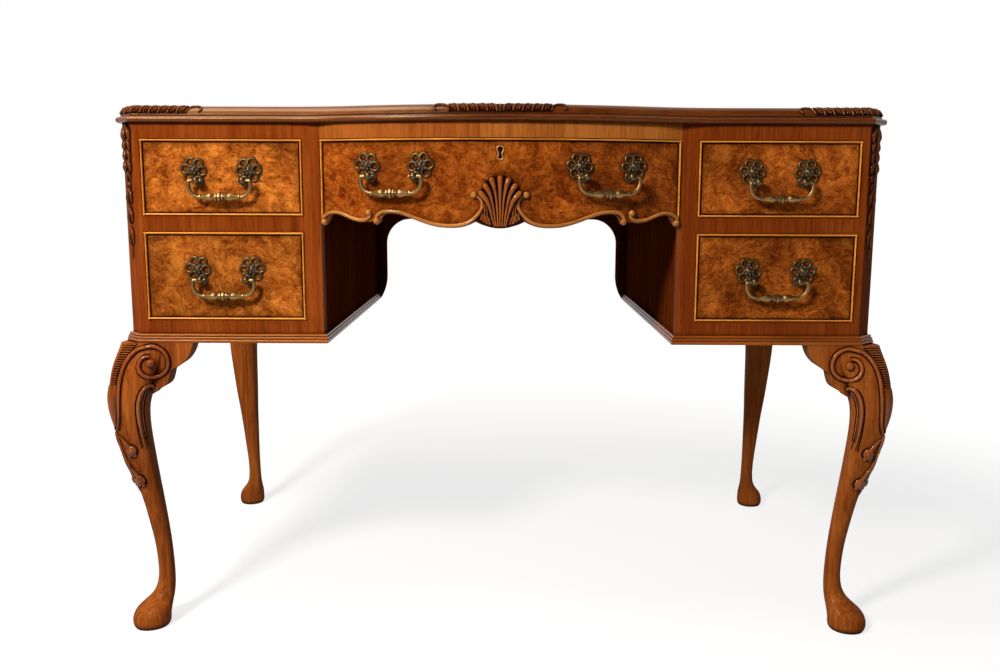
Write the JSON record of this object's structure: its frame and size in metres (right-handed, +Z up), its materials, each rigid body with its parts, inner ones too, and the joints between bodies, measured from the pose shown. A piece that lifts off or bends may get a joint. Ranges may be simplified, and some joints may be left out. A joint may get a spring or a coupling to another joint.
{
  "type": "kneehole desk",
  "caption": "Queen Anne style burr walnut kneehole desk with a bowed centre drawer, pedestal drawers with brass bail handles and carved cabriole legs.",
  "frame": {"origin": "middle of the footprint, on the floor under the feet", "axes": "+X to the right along the desk's width, +Y from its front to its back, +Z up"},
  "size_m": [1.1354, 0.687, 0.7746],
  "materials": {
    "walnut": "polished and waxed",
    "burr_walnut": "polished burr veneer",
    "crossband": "polished crossbanded veneer",
    "golden_bead": "polished",
    "oak": "bare, lightly waxed",
    "antique_brass": "aged, dark in the hollows",
    "lock_brass": "satin",
    "lock_steel": "satin"
  },
  "bodies": {
    "carcass": {"top_board": "burr_walnut", "top_moulding": "walnut", "kneehole_back_arch": "walnut", "centre_top_rail": "crossband", "drawer_runners": "oak", "left_outer_side": "walnut", "left_inner_side": "walnut", "left_back_panel": "walnut", "left_bottom_board": "oak", "left_front_frame": "crossband", "left_base_moulding": "walnut", "left_front_leg": "walnut", "left_rear_leg": "walnut", "left_knee_ears": "walnut", "left_corner_drop": "walnut", "right_outer_side": "walnut", "right_inner_side": "walnut", "right_back_panel": "walnut", "right_bottom_board": "oak", "right_front_frame": "crossband", "right_base_moulding": "walnut", "right_front_leg": "walnut", "right_rear_leg": "walnut", "right_knee_ears": "walnut", "right_corner_drop": "walnut"},
    "left_upper_drawer": {"left_upper_drawer_front": "burr_walnut", "left_upper_drawer_box": "oak", "left_upper_cock_bead": "golden_bead", "left_upper_rosettes": "antique_brass", "left_upper_handle_posts": "antique_brass"},
    "left_upper_bail": {"left_upper_bail": "antique_brass"},
    "left_lower_drawer": {"left_lower_drawer_front": "burr_walnut", "left_lower_drawer_box": "oak", "left_lower_cock_bead": "golden_bead", "left_lower_rosettes": "antique_brass", "left_lower_handle_posts": "antique_brass"},
    "left_lower_bail": {"left_lower_bail": "antique_brass"},
    "right_upper_drawer": {"right_upper_drawer_front": "burr_walnut", "right_upper_drawer_box": "oak", "right_upper_cock_bead": "golden_bead", "right_upper_rosettes": "antique_brass", "right_upper_handle_posts": "antique_brass"},
    "right_upper_bail": {"right_upper_bail": "antique_brass"},
    "right_lower_drawer": {"right_lower_drawer_front": "burr_walnut", "right_lower_drawer_box": "oak", "right_lower_cock_bead": "golden_bead", "right_lower_rosettes": "antique_brass", "right_lower_handle_posts": "antique_brass"},
    "right_lower_bail": {"right_lower_bail": "antique_brass"},
    "centre_drawer": {"centre_drawer_front": "burr_walnut", "centre_drawer_box": "oak", "centre_cock_bead": "golden_bead", "centre_rosettes": "antique_brass", "centre_handle_posts": "antique_brass", "centre_shell": "walnut", "keyhole_escutcheon": "antique_brass", "lock_case": "lock_brass"},
    "centre_right_bail": {"centre_right_bail": "antique_brass"},
    "centre_left_bail": {"centre_left_bail": "antique_brass"},
    "lock_bolt": {"lock_bolt": "lock_steel"}
  },
  "joints": [
    {"name": "left_upper_drawer_slide", "type": "slide", "parent": "carcass", "child": "left_upper_drawer", "axis": [0, -1, 0], "range_m": [0, 0.36]},
    {"name": "left_upper_bail_swing", "type": "hinge", "parent": "left_upper_drawer", "child": "left_upper_bail", "pos_m": [-0.3948, -0.29647, 0.6709], "axis": [-1, 0, 0], "range_deg": [0, 95]},
    {"name": "left_lower_drawer_slide", "type": "slide", "parent": "carcass", "child": "left_lower_drawer", "axis": [0, -1, 0], "range_m": [0, 0.36]},
    {"name": "left_lower_bail_swing", "type": "hinge", "parent": "left_lower_drawer", "child": "left_lower_bail", "pos_m": [-0.3948, -0.29647, 0.5309], "axis": [-1, 0, 0], "range_deg": [0, 95]},
    {"name": "right_upper_drawer_slide", "type": "slide", "parent": "carcass", "child": "right_upper_drawer", "axis": [0, -1, 0], "range_m": [0, 0.36]},
    {"name": "right_upper_bail_swing", "type": "hinge", "parent": "right_upper_drawer", "child": "right_upper_bail", "pos_m": [0.3948, -0.29647, 0.6709], "axis": [-1, 0, 0], "range_deg": [0, 95]},
    {"name": "right_lower_drawer_slide", "type": "slide", "parent": "carcass", "child": "right_lower_drawer", "axis": [0, -1, 0], "range_m": [0, 0.36]},
    {"name": "right_lower_bail_swing", "type": "hinge", "parent": "right_lower_drawer", "child": "right_lower_bail", "pos_m": [0.3948, -0.29647, 0.5309], "axis": [-1, 0, 0], "range_deg": [0, 95]},
    {"name": "centre_drawer_slide", "type": "slide", "parent": "carcass", "child": "centre_drawer", "axis": [0, -1, 0], "range_m": [0, 0.34]},
    {"name": "centre_right_bail_swing", "type": "hinge", "parent": "centre_drawer", "child": "centre_right_bail", "pos_m": [0.14997, -0.33053, 0.6771], "axis": [-0.9742, -0.2256, 0], "range_deg": [0, 95]},
    {"name": "centre_left_bail_swing", "type": "hinge", "parent": "centre_drawer", "child": "centre_left_bail", "pos_m": [-0.14997, -0.33053, 0.6771], "axis": [-0.9742, 0.2256, 0], "range_deg": [0, 95]},
    {"name": "lock_bolt_slide", "type": "slide", "parent": "centre_drawer", "child": "lock_bolt", "axis": [0, 0, 1], "range_m": [0, 0.007]}
  ]
}
